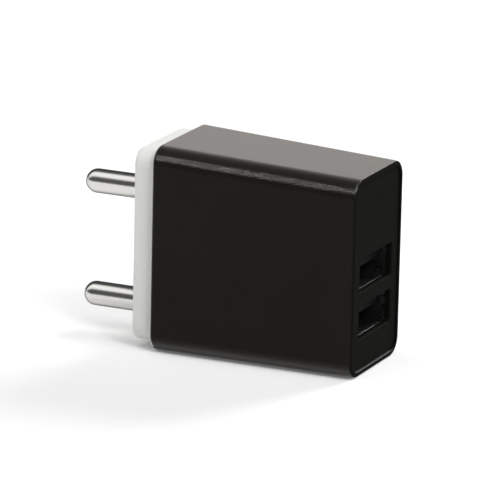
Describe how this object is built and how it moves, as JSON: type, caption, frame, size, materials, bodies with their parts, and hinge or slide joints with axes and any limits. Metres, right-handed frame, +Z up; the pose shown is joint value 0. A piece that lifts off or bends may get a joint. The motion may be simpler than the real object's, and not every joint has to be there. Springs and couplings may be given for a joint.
{
  "type": "usb wall charger",
  "caption": "Slim black mains charger block with a white plug base, round plug pins and stacked USB-A sockets in its narrow end face.",
  "frame": {"origin": "centre of the plug base's outer face, midway between the two pins", "axes": "+X from the wall towards the USB sockets, +Z up along the line of the pins, +Y towards the circuit board's side"},
  "size_m": [0.0516, 0.021, 0.034],
  "materials": {
    "housing_skin": "fine spark-eroded texture, semi-matt black",
    "panel_skin": "fine matt black",
    "base_plastic": "satin white",
    "pin_plating": "satin nickel plate on brass",
    "spring_metal": "bare phosphor bronze",
    "socket_steel": "nickel-plated sheet",
    "socket_plastic": "moulded black",
    "contact_gold": "flash gold plate",
    "board_laminate": "green solder resist on laminate",
    "solder": "wetted tin",
    "tinned_lead": "tinned wire",
    "chip_resin": "moulded epoxy",
    "resistor_coat": "flameproof lacquer",
    "disc_coat": "dipped epoxy",
    "ferrite": "sintered ferrite",
    "enamelled_copper": "enamelled copper wire",
    "winding_tape": "polyester tape",
    "bobbin_plastic": "moulded phenolic",
    "can_aluminium": "drawn aluminium",
    "capacitor_sleeve": "shrunk sleeve",
    "seal_rubber": "moulded rubber",
    "wound_foil": "wound foil and paper"
  },
  "bodies": {
    "root": {"bridge_rectifier_body": "chip_resin", "bridge_rectifier_leads": "tinned_lead", "charge_controller_body": "chip_resin", "charge_controller_leads": "tinned_lead", "chip_resistors": "chip_resin", "circuit_board": "board_laminate", "filter_inductor_core": "ferrite", "filter_inductor_leads": "tinned_lead", "filter_inductor_winding": "enamelled_copper", "front_output_capacitor_can": "can_aluminium", "front_output_capacitor_element": "wound_foil", "front_output_capacitor_leads": "tinned_lead", "front_output_capacitor_seal": "seal_rubber", "front_output_capacitor_sleeve": "capacitor_sleeve", "fuse_resistor_body": "resistor_coat", "fuse_resistor_leads": "tinned_lead", "housing": "housing_skin", "lower_bulk_capacitor_can": "can_aluminium", "lower_bulk_capacitor_element": "wound_foil", "lower_bulk_capacitor_leads": "tinned_lead", "lower_bulk_capacitor_seal": "seal_rubber", "lower_bulk_capacitor_sleeve": "capacitor_sleeve", "lower_pin_contact": "spring_metal", "lower_plug_pin": "pin_plating", "lower_socket_contacts": "contact_gold", "lower_socket_insulator": "socket_plastic", "lower_socket_shell": "socket_steel", "output_rectifier_body": "chip_resin", "output_rectifier_leads": "tinned_lead", "plug_base": "base_plastic", "rear_output_capacitor_can": "can_aluminium", "rear_output_capacitor_element": "wound_foil", "rear_output_capacitor_leads": "tinned_lead", "rear_output_capacitor_seal": "seal_rubber", "rear_output_capacitor_sleeve": "capacitor_sleeve", "safety_capacitor_disc": "disc_coat", "safety_capacitor_leads": "tinned_lead", "solder_joints": "solder", "switching_controller_body": "chip_resin", "switching_controller_leads": "tinned_lead", "transformer_bobbin": "bobbin_plastic", "transformer_core_tape": "winding_tape", "transformer_lower_core": "ferrite", "transformer_pins": "tinned_lead", "transformer_primary_winding": "enamelled_copper", "transformer_secondary_winding": "enamelled_copper", "transformer_upper_core": "ferrite", "transformer_winding_tape": "winding_tape", "upper_bulk_capacitor_can": "can_aluminium", "upper_bulk_capacitor_element": "wound_foil", "upper_bulk_capacitor_leads": "tinned_lead", "upper_bulk_capacitor_seal": "seal_rubber", "upper_bulk_capacitor_sleeve": "capacitor_sleeve", "upper_pin_contact": "spring_metal", "upper_plug_pin": "pin_plating", "upper_socket_contacts": "contact_gold", "upper_socket_insulator": "socket_plastic", "upper_socket_shell": "socket_steel", "usb_face_panel": "panel_skin"}
  },
  "joints": []
}
